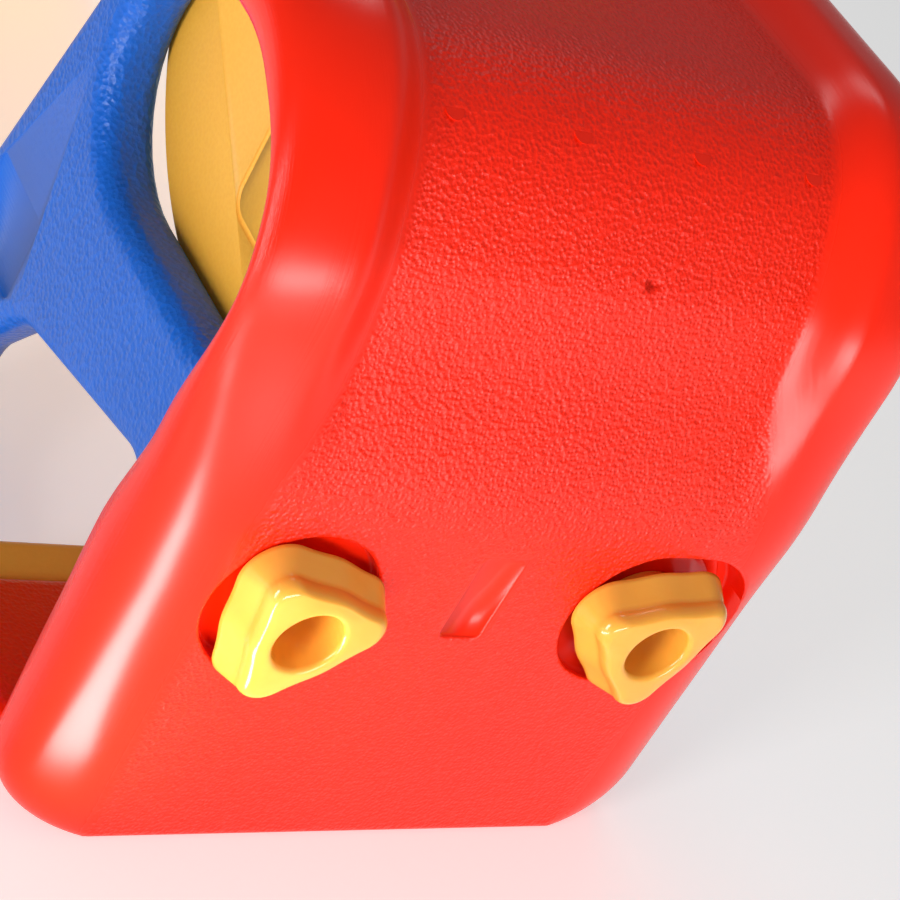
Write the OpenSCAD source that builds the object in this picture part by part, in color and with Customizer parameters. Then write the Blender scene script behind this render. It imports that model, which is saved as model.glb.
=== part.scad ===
// Toddler climber: a moulded climbing wall that curls back into a deck, two bolt-on
// holds, two side frames and a slide. X runs across the wall, the wall faces -Y and
// +Z is up. The origin is on the floor in the middle of the plan.

/* [Wall] */
// Width of the climbing wall
wall_w = 530; // [480:5:600]
// Height of the deck rails above the floor
wall_h = 600; // [560:5:680]
// Front to back depth of the hollow wall
wall_depth = 60; // [50:1:70]
// Outer radius of the curl at the top
curl_r = 172; // [150:1:190]
// Rounding of the lower corners
corner_r = 55; // [30:1:70]
// Wall thickness of the moulded shells
skin = 4; // [3:0.5:5]
// Width of the raised rail along each side of the deck
rail_w = 75; // [50:1:90]
// How far the deck lies below its rails
rail_h = 22; // [10:1:24]
// Length of the flat deck behind the curl
deck_l = 230; // [180:5:260]

/* [Holds] */
// Distance between the two holds
hold_pitch = 286; // [240:2:300]
// Height of the holds above the floor
hold_z = 227; // [200:1:260]
// Centre to corner tip of a hold, at its base
hold_tip = 66; // [56:1:70]
// Rounding of a hold's corners
hold_corner_r = 13; // [8:1:16]
// How far a hold stands out of the wall
hold_out = 33; // [28:1:40]
// Radius of the deep bolt hole in a hold
hold_hole_r = 24; // [20:1:26]
// Turn of the left hold about its bolt
left_turn = 131; // [0:1:359]
// Turn of the right hold about its bolt
right_turn = 41; // [0:1:359]
// Radius of the well behind a hold
well_r = 60; // [56:1:62]
// Depth of the well
well_depth = 26; // [22:1:30]
// How far the right well runs outwards
well_run = 30; // [0:1:30]

/* [Side frames] */
// Outer face of a side frame from the middle
frame_x = 236; // [230:1:244]
// Thickness of a side frame
frame_t = 46; // [36:1:48]
// Length of a side frame at its foot
frame_l = 355; // [330:5:380]

/* [Slide] */
// Height of the slide's lower end above the floor
slide_end_z = 70; // [60:1:100]
// Length of the sloping chute, seen from above
slide_run = 760; // [680:10:840]
// Length of the level run-out
runout_l = 120; // [80:5:160]
// Thickness of the slide's side walls
slide_side_t = 22; // [16:1:26]
// Thickness of the chute
chute_t = 16; // [12:1:20]
// Height of the side walls above the chute
side_h = 60; // [40:1:80]

/* [Fixings] */
// Radius of the frame bolts
bolt_r = 4; // [3:0.5:5]
// Radius of the hold bolts
hold_bolt_r = 5; // [4:0.5:6]
// Radius of the steel cross tubes
tube_r = 12.5; // [10:0.5:16]

/* [Hidden] */

$fn = 64;
gap = 0.3;
clear = 0.3;
seam = 0.03;
face_y = 0;
wall_half = wall_w / 2;
knee_z = wall_h - curl_r;
deck_rear = curl_r + deck_l;
deck_under = wall_h - wall_depth;
deck_top = wall_h - rail_h;
frame_in = frame_x - frame_t;
frame_front = wall_depth + gap;
frame_rear = frame_front + frame_l;
frame_top = deck_under - gap;
slide_half = frame_in - gap;
chute_half = slide_half - slide_side_t;
slide_front = deck_rear + gap;
slide_rear = slide_front + slide_run + runout_l;
lip_l = 38;
valley_z = 300;
vent_x = 30;
vent_turn = 19.5;
vent_r = 4;
skirt_z = 320;
skirt_arc_y = 150;
skirt_r = 240;
skirt_turn = 52;
throat_z = skirt_z + 200;
front_y = -hold_out;
mid_y = (front_y + slide_rear) / 2;

// Hold seat: the hold's hub stands on a boss in the well
seat_y = 12;
boss_r = 62;
step_r = 73;
step_y = 18;
hub_r = 50;
neck_r = 38;
boss_wall = 10;
hold_taper = 0.8;
hold_facet = 12;
hold_head_r = 11;
hold_head_t = 7;
hold_washer_r = 15;
hold_washer_t = 2;
hold_floor_y = 8;
hold_nut_r = 10;
hold_nut_t = 9;
hold_nut_y = wall_depth - 29;

// Frame fixings
washer_t = 2;
washer_r = 10;
head_r = 8;
head_t = 5;
nut_r = 8;
nut_t = 7;
nut_slack = 0.05;
barrel_r = 7;
barrel_l = 24;
bolt_x = frame_x - frame_t / 2;
seat_depth = 12;
wall_bolts_zy = [[86, frame_front + 8], [425, frame_front + 12]];
deck_bolts_yz = [[180, frame_top - 12], [260, frame_top - 14]];
slide_bolts_yz = [[105, skirt_z + 14], [frame_front + 284, frame_top - 110]];

// Circles [y, z, radius] that the side frame and its two openings are drawn round
frame_rounds = [[frame_front + 12, 12, 12], [frame_rear - 35, 35, 35],
  [frame_rear - 40, 250, 40], [frame_rear - 110, frame_top - 40, 40],
  [curl_r, knee_z, curl_r - frame_front]];
upper_rounds = [[frame_front + 40, 382, 30], [frame_front + 175, knee_z + 6, 88],
  [curl_r, knee_z, curl_r - frame_front - 18]];
lower_rounds = [[frame_front + 45, 50, 32], [frame_front + 228, 108, 62],
  [frame_front + 195, 150, 62], [frame_front + 44, 218, 34]];

// Plate recessed in the outer face of each side frame
plate_y = frame_rear - 103;
plate_z = 205;
plate_l = 82;
plate_h = 68;
plate_in = 1.5;

// Cross beams on the floor: the red one carries the front legs of the side frames
foot_y0 = frame_front;
foot_y1 = 200;
foot_h = 54;
foot_half = wall_half - 3;
foot_step_y = 76;
foot_vent_x = 24;
foot_vent_y = 14;
rear_y0 = foot_y1 + gap;
rear_y1 = 250;
rear_h = 43;
beam_x = 150;
beam_z = 22;

// Places of the round nuts in the wall's rear face, seen from behind
wall_nuts_xz = [[bolt_x, wall_bolts_zy[0][0]], [bolt_x, wall_bolts_zy[1][0]], [beam_x, beam_z]];

// Steel cross tubes between the side frames
tube_t = 1.5;
tube_grip = 26;
tubes_yz = [[215, 285], [frame_front + 255, frame_top - 32]];

// Puts a shape from wall coordinates into the object's frame
module in_frame() {
  translate([0, -mid_y, 0]) children();
}

// Extrudes a (y, z) outline along X from x0 to x1
module across(x0, x1) {
  translate([x0, 0, 0]) rotate([90, 0, 90]) linear_extrude(x1 - x0) children();
}

// Extrudes an (x, z) outline along Y from y0 to y1
module along(y0, y1) {
  translate([0, y1, 0]) rotate([90, 0, 0]) linear_extrude(y1 - y0) children();
}

// A cylinder along Y
module rod_y(x, z, y0, y1, r, sides = 48) {
  translate([x, y1, z]) rotate([90, 0, 0]) cylinder(r = r, h = y1 - y0, $fn = sides);
}

// A cylinder along X
module rod_x(y, z, x0, x1, r, sides = 48) {
  translate([x0, y, z]) rotate([0, 90, 0]) cylinder(r = r, h = x1 - x0, $fn = sides);
}

// A cylinder along Z
module rod_z(x, y, z0, z1, r, sides = 48) {
  translate([x, y, z0]) cylinder(r = r, h = z1 - z0, $fn = sides);
}

// Side profile of the wall, inset by t: upright, curl and deck
module wall_profile(t = 0, drop = 0) {
  translate([drop + t, t]) square([wall_depth - drop - 2 * t, knee_z - t]);
  intersection() {
    translate([curl_r, knee_z]) difference() {
      circle(r = curl_r - drop - t, $fn = 128);
      circle(r = curl_r - wall_depth + t, $fn = 128);
    }
    translate([0, knee_z]) square([curl_r, curl_r]);
  }
  translate([curl_r, deck_under + t]) square([deck_l - t, wall_depth - drop - 2 * t]);
}

// Front outline of the wall, inset by t: rounded lower corners
module wall_outline(t = 0) {
  r = corner_r - t;
  translate([-wall_half + t, corner_r]) square([wall_w - 2 * t, wall_h - corner_r]);
  translate([-wall_half + corner_r, t]) square([wall_w - 2 * corner_r, corner_r]);
  for (side = [-1, 1]) translate([side * (wall_half - corner_r), corner_r]) circle(r = r, $fn = 96);
}

// The wall's outer body, inset by t: rails at the sides, deck recessed between them
module wall_body(t = 0) {
  intersection() {
    union() {
      across(-wall_half, wall_half) wall_profile(t, rail_h);
      for (x0 = [-wall_half, wall_half - rail_w]) across(x0 + t, x0 + rail_w - t) wall_profile(t);
      across(-wall_half + t, wall_half - t) {
        polygon([[t, t], [t, valley_z], [rail_h + t, knee_z], [rail_h + 2 * t, knee_z], [rail_h + 2 * t, t]]);
      }
    }
    along(-1, deck_rear + 1) wall_outline(t);
  }
}

// Well outline round a hold; the right one runs outwards
module well_outline(side, r) {
  translate([side * hold_pitch / 2, hold_z]) {
    circle(r = r, $fn = 96);
    if (side > 0) {
      translate([well_run, 0]) circle(r = r, $fn = 96);
      translate([0, -r]) square([well_run, 2 * r]);
    }
  }
}

// Space of a well, grown by t: a flat seat for the hold, a step and the well's floor
module well_space(side, t = 0) {
  x = side * hold_pitch / 2;
  difference() {
    along(face_y - 1, well_depth + t) well_outline(side, well_r + t);
    rod_y(x, hold_z, seat_y + t, well_depth + skin + 1, boss_r - t, 96);
    rod_y(x, hold_z, step_y + t, well_depth + skin + 1, step_r - t, 96);
  }
}

// Climbing wall: one hollow blow-moulded skin from the floor to the rear of the deck
module wall_panel() {
  color("orangered") difference() {
    union() {
      difference() {
        wall_body();
        wall_body(skin);
      }
      for (side = [-1, 1]) {
        intersection() {
          wall_body();
          well_space(side, skin);
        }
        rod_y(side * hold_pitch / 2, hold_z, seat_y, wall_depth - 1, hold_head_r + boss_wall);
        for (b = wall_nuts_xz) {
          rod_y(side * b[0], b[1], wall_depth - barrel_l, wall_depth - 1, barrel_r + 6);
        }
        for (b = deck_bolts_yz) {
          rod_z(side * bolt_x, b[0], deck_under + 1, deck_under + barrel_l, barrel_r + 6);
        }
      }
    }
    for (side = [-1, 1]) {
      x = side * hold_pitch / 2;
      well_space(side);
      rod_y(x, hold_z, -1, wall_depth + 1, hold_bolt_r + clear);
      rod_y(x, hold_z, hold_nut_y, wall_depth + 1, hold_nut_r + clear);
      for (b = wall_nuts_xz) {
        rod_y(side * b[0], b[1], wall_depth - barrel_l + skin, wall_depth + 1, barrel_r + clear);
      }
      for (b = deck_bolts_yz) {
        rod_z(side * bolt_x, b[0], deck_under - 1, deck_under + barrel_l - skin, barrel_r + clear);
      }
    }
    translate([vent_x, curl_r, knee_z]) rotate([90 - vent_turn, 0, 0]) {
      translate([0, 0, curl_r - rail_h - skin - 1]) cylinder(r = vent_r, h = skin + 2, $fn = 32);
    }
  }
}
in_frame() wall_panel();

// Flat outline of a hold: a triangle with three rounded corners
module hold_outline() {
  r = hold_corner_r;
  reach = hold_tip - r;
  polygon([for (a = [0, 120, 240], b = [-60 : hold_facet : 60])
    [reach * cos(a) + r * cos(a + b), reach * sin(a) + r * sin(a + b)]]);
}

// Climbing hold: a three-cornered grip with a hub behind it and a deep bolt hole
module hold(side, turn) {
  x = side * hold_pitch / 2;
  color("goldenrod") difference() {
    union() {
      translate([x, -gap, hold_z]) rotate([90, 0, 0]) {
        linear_extrude(hold_out - gap, scale = hold_taper) rotate(turn) hold_outline();
      }
      rod_y(x, hold_z, -gap - 1, seat_y, neck_r, 96);
      rod_y(x, hold_z, 1, seat_y, hub_r, 96);
    }
    rod_y(x, hold_z, front_y - 1, hold_floor_y, hold_hole_r, 96);
    rod_y(x, hold_z, hold_floor_y - 1, seat_y + 1, hold_bolt_r + clear);
  }
}
in_frame() hold(-1, left_turn);  // hold_left
in_frame() hold(1, right_turn);  // hold_right

// One bolt down each hold's hole, through the boss and into the nut behind it
module hold_bolts() {
  color("silver") for (side = [-1, 1]) {
    x = side * hold_pitch / 2;
    head_y = hold_floor_y - hold_washer_t;
    rod_y(x, hold_z, head_y, wall_depth - 4, hold_bolt_r);
    rod_y(x, hold_z, head_y - hold_head_t, head_y, hold_head_r, 6);
  }
}
in_frame() hold_bolts();

// Broad washers that spread the load on the bottom of each hold's hole
module hold_washers() {
  color("lightgrey") for (side = [-1, 1]) {
    x = side * hold_pitch / 2;
    difference() {
      rod_y(x, hold_z, hold_floor_y - hold_washer_t, hold_floor_y, hold_washer_r);
      rod_y(x, hold_z, hold_floor_y - hold_washer_t - 1, hold_floor_y + 1, hold_bolt_r + clear);
    }
  }
}
in_frame() hold_washers();

// Hexagon nuts in the pockets behind the bosses
module hold_nuts() {
  color("silver") for (side = [-1, 1]) {
    x = side * hold_pitch / 2;
    y0 = hold_nut_y;
    difference() {
      rod_y(x, hold_z, y0, y0 + hold_nut_t, hold_nut_r, 6);
      rod_y(x, hold_z, y0 - 1, y0 + hold_nut_t + 1, hold_bolt_r + nut_slack);
    }
  }
}
in_frame() hold_nuts();

// Points where the outer tangent of two circles [y, z, r] touches them
function tangent(a, b) =
  let (d = [b[0] - a[0], b[1] - a[1]], turn = atan2(d[1], d[0]) - acos((a[2] - b[2]) / norm(d)))
  [for (c = [a, b]) [c[0] + c[2] * cos(turn), c[1] + c[2] * sin(turn)]];

// Taut band round circles [y, z, r] listed counterclockwise, grown by t. Its straight
// edges lie a seam inside the circles, so that each arc ends on a clean corner.
module band(circles, t = 0) {
  grown = [for (c = circles) [c[0], c[1], c[2] + t]];
  last = len(grown) - 1;
  tucked = [for (c = grown) [c[0], c[1], c[2] - seam]];
  polygon([for (i = [0 : last]) each tangent(tucked[i], tucked[i == last ? 0 : i + 1])]);
  for (c = grown) translate([c[0], c[1]]) circle(r = c[2], $fn = 64);
}

// Side frame in (y, z): front leg, arm and post round two openings, inset by t
module frame_outline(t = 0) {
  difference() {
    band(frame_rounds, -t);
    band(upper_rounds, t);
    band(lower_rounds, t);
    translate([frame_front - 1, -1]) square([foot_y1 + gap + t + 1 - frame_front, foot_h + gap + t + 1]);
    translate([foot_y1, -1]) square([rear_y1 + gap + t - foot_y1, rear_h + gap + t + 1]);
  }
}

// Side frame: a hollow moulding with a recessed plate on its outer face
module side_frame(side) {
  x0 = side > 0 ? frame_in : -frame_x;
  plate_x = side > 0 ? frame_x - plate_in : -frame_x - 1;
  color("royalblue") difference() {
    union() {
      difference() {
        across(x0, x0 + frame_t) frame_outline();
        across(x0 + skin, x0 + frame_t - skin) frame_outline(skin);
      }
      intersection() {
        across(x0, x0 + frame_t) frame_outline();
        union() {
          for (b = wall_bolts_zy) rod_y(side * bolt_x, b[0], frame_front, b[1], washer_r + 4);
          for (b = deck_bolts_yz) rod_z(side * bolt_x, b[0], b[1], frame_top, washer_r + 4);
          for (b = tubes_yz) rod_x(b[0], b[1], x0 + 1, x0 + frame_t - 1, tube_r + 6);
        }
      }
    }
    translate([plate_x, plate_y, plate_z]) cube([plate_in + 1, plate_l, plate_h]);
    for (b = wall_bolts_zy) {
      rod_y(side * bolt_x, b[0], frame_front - 1, b[1] + 1, bolt_r + clear);
      rod_y(side * bolt_x, b[0], b[1], b[1] + seat_depth, washer_r + 1);
    }
    for (b = deck_bolts_yz) {
      rod_z(side * bolt_x, b[0], b[1] - 1, frame_top + 1, bolt_r + clear);
      rod_z(side * bolt_x, b[0], b[1] - seat_depth, b[1], washer_r + 1);
    }
    mirror([side > 0 ? 0 : 1, 0, 0]) {
      for (b = slide_bolts_yz) rod_x(b[0], b[1], frame_in - 1, frame_in + skin + 1, bolt_r + clear);
      for (b = tubes_yz) rod_x(b[0], b[1], frame_in - 1, frame_in + tube_grip, tube_r + clear);
    }
  }
}
in_frame() side_frame(-1);  // side_frame_left
in_frame() side_frame(1);  // side_frame_right

// Red foot beam across the back of the wall, stepped clear of the wall's rims, inset by t
module foot_block(t = 0) {
  translate([-frame_x + t, foot_y0 + t, t]) {
    cube([2 * (frame_x - t), foot_y1 - foot_y0 - 2 * t, foot_h - 2 * t]);
  }
  translate([-foot_half + t, foot_step_y + t, t]) {
    cube([2 * (foot_half - t), foot_y1 - foot_step_y - 2 * t, foot_h - 2 * t]);
  }
}

// Foot beam: a hollow moulding with its vent near the left end
module foot_beam() {
  color("orangered") difference() {
    foot_block();
    foot_block(skin);
    rod_z(-foot_half + foot_vent_x, foot_y1 - foot_vent_y, foot_h - skin - 1, foot_h + 1, vent_r, 32);
    for (side = [-1, 1]) rod_y(side * beam_x, beam_z, foot_y0 - 1, foot_y1 + 1, bolt_r + clear);
  }
}
in_frame() foot_beam();

// Yellow beam behind the foot beam, a hollow box moulding
module rear_beam() {
  color("goldenrod") difference() {
    translate([-frame_x, rear_y0, 0]) cube([2 * frame_x, rear_y1 - rear_y0, rear_h]);
    translate([-frame_x + skin, rear_y0 + skin, skin]) {
      cube([2 * (frame_x - skin), rear_y1 - rear_y0 - 2 * skin, rear_h - 2 * skin]);
    }
    for (side = [-1, 1]) rod_y(side * beam_x, beam_z, rear_y0 - 1, rear_y1 + 1, bolt_r + clear);
  }
}
in_frame() rear_beam();

// Side wall of the slide in (y, z): hanging skirt, arch, slope and run-out
module slide_side_outline() {
  slope_y = slide_front + slide_run;
  difference() {
    slide_side_blank(slope_y);
    difference() {
      translate([0, knee_z]) square(curl_r);
      translate([curl_r, knee_z]) circle(r = curl_r - frame_front - gap, $fn = 128);
    }
  }
}

// The same outline before it is rounded to fit under the wall's curl
module slide_side_blank(slope_y) {
  skirt_h = deck_under - 2 * gap - skirt_z;
  arc_l = skirt_r * sin(skirt_turn);
  translate([frame_front + gap, skirt_z]) square([skirt_arc_y - frame_front - gap, skirt_h]);
  intersection() {
    translate([skirt_arc_y - 1, skirt_z]) square([arc_l + 1, skirt_h]);
    translate([skirt_arc_y, skirt_z + skirt_r]) circle(r = skirt_r, $fn = 256);
  }
  polygon([[skirt_arc_y + arc_l, skirt_z + skirt_r * (1 - cos(skirt_turn))],
    [slide_front + lip_l, throat_z], [slope_y, 0], [slide_rear, 0],
    [slide_rear, slide_end_z + side_h / 2], [slope_y, slide_end_z + side_h],
    [slide_front + lip_l, deck_top + side_h], [slide_front, deck_top + side_h],
    [slide_front, deck_under - 2 * gap], [skirt_arc_y + arc_l, deck_under - 2 * gap]]);
}

// Chute of the slide in (y, z)
module chute_outline() {
  slope_y = slide_front + slide_run;
  polygon([[slide_front, deck_top - chute_t], [slide_front + lip_l, deck_top - chute_t],
    [slope_y, slide_end_z - chute_t], [slide_rear, slide_end_z - chute_t],
    [slide_rear, slide_end_z], [slope_y, slide_end_z],
    [slide_front + lip_l, deck_top], [slide_front, deck_top]]);
}

// Slide: a chute between two hollow side walls whose skirts hang inside the frames
module slide() {
  color("gold") difference() {
    union() {
      difference() {
        across(-chute_half - 1, chute_half + 1) chute_outline();
        across(-chute_half, chute_half) offset(delta = -skin) chute_outline();
      }
      for (side = [-1, 1]) mirror([side > 0 ? 0 : 1, 0, 0]) {
        difference() {
          across(chute_half, slide_half) slide_side_outline();
          across(chute_half + skin, slide_half - skin) offset(delta = -skin) slide_side_outline();
        }
        for (b = slide_bolts_yz) rod_x(b[0], b[1], chute_half + 1, slide_half - 1, washer_r + 1);
        rod_x(tubes_yz[1][0], tubes_yz[1][1], chute_half + 1, slide_half - 1, tube_r + 6);
      }
    }
    for (b = slide_bolts_yz) rod_x(b[0], b[1], -slide_half - 1, slide_half + 1, bolt_r + clear);
    rod_x(tubes_yz[1][0], tubes_yz[1][1], -slide_half - 1, slide_half + 1, tube_r + clear);
  }
}
in_frame() slide();

// Steel cross tube held in blind sockets of both side frames
module cross_tube(yz) {
  half = frame_in + tube_grip - 1;
  color("silver") difference() {
    rod_x(yz[0], yz[1], -half, half, tube_r);
    rod_x(yz[0], yz[1], -half - 1, half + 1, tube_r - tube_t);
  }
}
in_frame() cross_tube(tubes_yz[0]);  // arm_tube
in_frame() cross_tube(tubes_yz[1]);  // deck_tube

// Bolts that hold the wall's upright against the side frames
module wall_bolts() {
  color("silver") for (side = [-1, 1], b = wall_bolts_zy) {
    seat = b[1] + washer_t;
    rod_y(side * bolt_x, b[0], wall_depth - barrel_l + skin + 3, seat, bolt_r);
    rod_y(side * bolt_x, b[0], seat, seat + head_t, head_r, 6);
  }
}
in_frame() wall_bolts();

// Washers under the wall bolts
module wall_bolt_washers() {
  color("lightgrey") for (side = [-1, 1], b = wall_bolts_zy) difference() {
    rod_y(side * bolt_x, b[0], b[1], b[1] + washer_t, washer_r);
    rod_y(side * bolt_x, b[0], b[1] - 1, b[1] + washer_t + 1, bolt_r + clear);
  }
}
in_frame() wall_bolt_washers();

// Round nuts set into the wall's rear face
module wall_barrel_nuts() {
  color("silver") for (side = [-1, 1], b = wall_nuts_xz) difference() {
    rod_y(side * b[0], b[1], wall_depth - barrel_l + skin + clear, wall_depth, barrel_r);
    rod_y(side * b[0], b[1], wall_depth - barrel_l + skin, wall_depth + 1, bolt_r + nut_slack);
  }
}
in_frame() wall_barrel_nuts();

// Bolts that hold the deck down on the side frames
module deck_bolts() {
  color("silver") for (side = [-1, 1], b = deck_bolts_yz) {
    seat = b[1] - washer_t;
    rod_z(side * bolt_x, b[0], seat, deck_under + barrel_l - skin - 3, bolt_r);
    rod_z(side * bolt_x, b[0], seat - head_t, seat, head_r, 6);
  }
}
in_frame() deck_bolts();

// Washers under the deck bolts
module deck_bolt_washers() {
  color("lightgrey") for (side = [-1, 1], b = deck_bolts_yz) difference() {
    rod_z(side * bolt_x, b[0], b[1] - washer_t, b[1], washer_r);
    rod_z(side * bolt_x, b[0], b[1] - washer_t - 1, b[1] + 1, bolt_r + clear);
  }
}
in_frame() deck_bolt_washers();

// Round nuts set into the underside of the deck
module deck_barrel_nuts() {
  color("silver") for (side = [-1, 1], b = deck_bolts_yz) difference() {
    rod_z(side * bolt_x, b[0], deck_under, deck_under + barrel_l - skin - clear, barrel_r);
    rod_z(side * bolt_x, b[0], deck_under - 1, deck_under + barrel_l - skin, bolt_r + nut_slack);
  }
}
in_frame() deck_barrel_nuts();

// Bolts from inside the slide's skirts into the side frames
module slide_bolts() {
  color("silver") for (side = [-1, 1], b = slide_bolts_yz) mirror([side > 0 ? 0 : 1, 0, 0]) {
    rod_x(b[0], b[1], chute_half - washer_t, frame_in + skin + nut_t + 3, bolt_r);
    rod_x(b[0], b[1], chute_half - washer_t - head_t, chute_half - washer_t, head_r, 6);
  }
}
in_frame() slide_bolts();

// Washers under the slide bolts
module slide_bolt_washers() {
  color("lightgrey") for (side = [-1, 1], b = slide_bolts_yz) mirror([side > 0 ? 0 : 1, 0, 0]) {
    difference() {
      rod_x(b[0], b[1], chute_half - washer_t, chute_half, washer_r);
      rod_x(b[0], b[1], chute_half - washer_t - 1, chute_half + 1, bolt_r + clear);
    }
  }
}
in_frame() slide_bolt_washers();

// Nuts of the slide bolts, inside the side frames
module slide_nuts() {
  color("silver") for (side = [-1, 1], b = slide_bolts_yz) mirror([side > 0 ? 0 : 1, 0, 0]) {
    difference() {
      rod_x(b[0], b[1], frame_in + skin, frame_in + skin + nut_t, nut_r, 6);
      rod_x(b[0], b[1], frame_in + skin - 1, frame_in + skin + nut_t + 1, bolt_r + nut_slack);
    }
  }
}
in_frame() slide_nuts();

// Long bolts through both floor beams into the wall's round nuts
module beam_bolts() {
  color("silver") for (side = [-1, 1]) {
    rod_y(side * beam_x, beam_z, wall_depth - barrel_l + skin + 3, rear_y1, bolt_r);
    rod_y(side * beam_x, beam_z, rear_y1, rear_y1 + head_t, head_r, 6);
  }
}
in_frame() beam_bolts();
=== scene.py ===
import math
import bmesh
import bpy
import numpy as np
from mathutils import Matrix, Vector


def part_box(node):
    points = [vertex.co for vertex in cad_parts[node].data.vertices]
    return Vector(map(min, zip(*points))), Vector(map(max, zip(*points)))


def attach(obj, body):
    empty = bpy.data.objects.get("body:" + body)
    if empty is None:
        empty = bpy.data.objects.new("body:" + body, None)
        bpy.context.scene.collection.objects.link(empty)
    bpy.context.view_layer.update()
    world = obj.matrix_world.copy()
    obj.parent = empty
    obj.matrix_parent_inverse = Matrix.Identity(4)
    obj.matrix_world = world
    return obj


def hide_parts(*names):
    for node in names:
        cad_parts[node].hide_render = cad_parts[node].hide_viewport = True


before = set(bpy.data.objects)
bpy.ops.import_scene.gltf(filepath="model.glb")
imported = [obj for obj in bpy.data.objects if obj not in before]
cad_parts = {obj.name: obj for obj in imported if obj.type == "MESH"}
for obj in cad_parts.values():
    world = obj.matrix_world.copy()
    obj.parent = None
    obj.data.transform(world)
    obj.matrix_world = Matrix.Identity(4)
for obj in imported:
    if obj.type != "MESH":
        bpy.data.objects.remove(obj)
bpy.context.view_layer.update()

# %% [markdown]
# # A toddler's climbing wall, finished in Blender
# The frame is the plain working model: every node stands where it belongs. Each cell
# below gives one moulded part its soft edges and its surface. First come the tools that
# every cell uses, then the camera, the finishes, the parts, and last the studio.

MM = 0.001

# %% [markdown]
# ## Places and sizes
# A piece is drawn where the plain model has it. The wall's face, its height and the
# frames' places are read from the nodes, so they follow if the model changes. Only
# what the nodes can't say, such as the soft radii of a moulding, is written here.

# %% Places read from the plain model
wall_low, wall_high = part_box("wall_panel")
FACE_Y = wall_low.y
WALL_HALF = wall_high.x
WALL_TOP = wall_high.z
WALL_DEPTH = 60 * MM
CURL_R = 172 * MM
KNEE_Z = WALL_TOP - CURL_R
DECK_REAR = wall_high.y
DECK_DROP = 22 * MM
CORNER_R = 55 * MM
WELL_R = 60 * MM
WELL_RUN = 30 * MM

frame_low, frame_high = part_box("side_frame_right")
slide_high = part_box("slide")[1]
bolts_low, bolts_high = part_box("hold_bolts")
HOLD_Z = (bolts_low.z + bolts_high.z) / 2
HOLD_X = bolts_high.x - 11 * MM
print("wall", round(2 * WALL_HALF, 3), "wide, holds at x =", round(HOLD_X, 3))

# %% [markdown]
# ## Small tools
# `linear` turns a paint-chart hex value into the light values a shader wants. `add`
# places one shader node with its settings and links. `solid` makes a mesh object from
# points and faces and checks that its faces look outwards.

# %% Colour, node and mesh helpers


def linear(hex_value):
    parts = [int(hex_value[i:i + 2], 16) / 255 for i in (1, 3, 5)]
    return [p / 12.92 if p <= 0.04045 else ((p + 0.055) / 1.055) ** 2.4 for p in parts] + [1.0]


def add(tree, kind, settings=None, **links):
    node = tree.nodes.new(kind)
    for name, value in (settings or {}).items():
        if isinstance(name, int):
            node.inputs[name].default_value = value
        elif hasattr(node, name):
            setattr(node, name, value)
        else:
            node.inputs[name.replace("_", " ")].default_value = value
    for name, source in links.items():
        tree.links.new(source, node.inputs[int(name[1:])] if name[1:].isdigit() else node.inputs[name])
    return node


def face_outwards(mesh, weld):
    work = bmesh.new()
    work.from_mesh(mesh)
    if weld:
        bmesh.ops.remove_doubles(work, verts=work.verts, dist=1e-6)
    bmesh.ops.recalc_face_normals(work, faces=work.faces)
    work.to_mesh(mesh)
    work.free()
    mesh.polygons.foreach_set("use_smooth", [True] * len(mesh.polygons))


def solid(name, points, faces, check=True):
    mesh = bpy.data.meshes.new(name)
    mesh.from_pydata([tuple(p) for p in points], [], faces)
    if check:
        face_outwards(mesh, weld=True)
    else:
        mesh.polygons.foreach_set("use_smooth", [True] * len(mesh.polygons))
    piece = bpy.data.objects.new(name, mesh)
    bpy.context.collection.objects.link(piece)
    return piece


def ring_faces(rings, size, closed=True):
    faces = []
    for r in range(rings - 1):
        for i in range(size if closed else size - 1):
            j = (i + 1) % size
            faces.append((r * size + i, r * size + j, (r + 1) * size + j, (r + 1) * size + i))
    return faces


def capped_faces(rings, size):
    # Faces of a stack of rings whose first and last rings are closed by one face each.
    last = (rings - 1) * size
    return ring_faces(rings, size) + [tuple(range(size)), tuple(last + i for i in range(size))]


def bake(piece):
    done = bpy.data.meshes.new_from_object(piece.evaluated_get(bpy.context.evaluated_depsgraph_get()))
    old = piece.data
    piece.modifiers.clear()
    piece.data = done
    done.name = piece.name
    bpy.data.meshes.remove(old)
    return piece


def carve(piece, cutter, operation="DIFFERENCE"):
    cut = piece.modifiers.new("cut", "BOOLEAN")
    cut.operation = operation
    cut.solver = "EXACT"
    cut.object = cutter
    bake(piece)
    bpy.data.objects.remove(cutter)
    return piece


def smoothstep(low, high, value):
    t = min(1.0, max(0.0, (value - low) / (high - low)))
    return t * t * (3 - 2 * t)


# %% [markdown]
# ## Camera
# A long lens stands at the wall's front left, a little above it, and is rolled on its
# axis, so the wall's uprights lean across the picture. The wall fills the view.

# %% Camera
camera = bpy.data.objects.new("camera", bpy.data.cameras.new("camera"))
bpy.context.collection.objects.link(camera)
aim = Vector((-0.0954, FACE_Y, 0.3671))
camera.location = Vector((-0.989, FACE_Y - 0.946, 1.160))
look = (aim - camera.location).to_track_quat("-Z", "Y")
camera.rotation_mode = "QUATERNION"
camera.rotation_quaternion = look @ Matrix.Rotation(math.radians(31.16), 4, "Z").to_quaternion()
camera.data.lens = 99.6
camera.data.sensor_width = 36
camera.data.clip_start = 0.05
camera.data.clip_end = 50
bpy.context.scene.camera = camera
print("camera", [round(v, 3) for v in camera.location])

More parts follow.
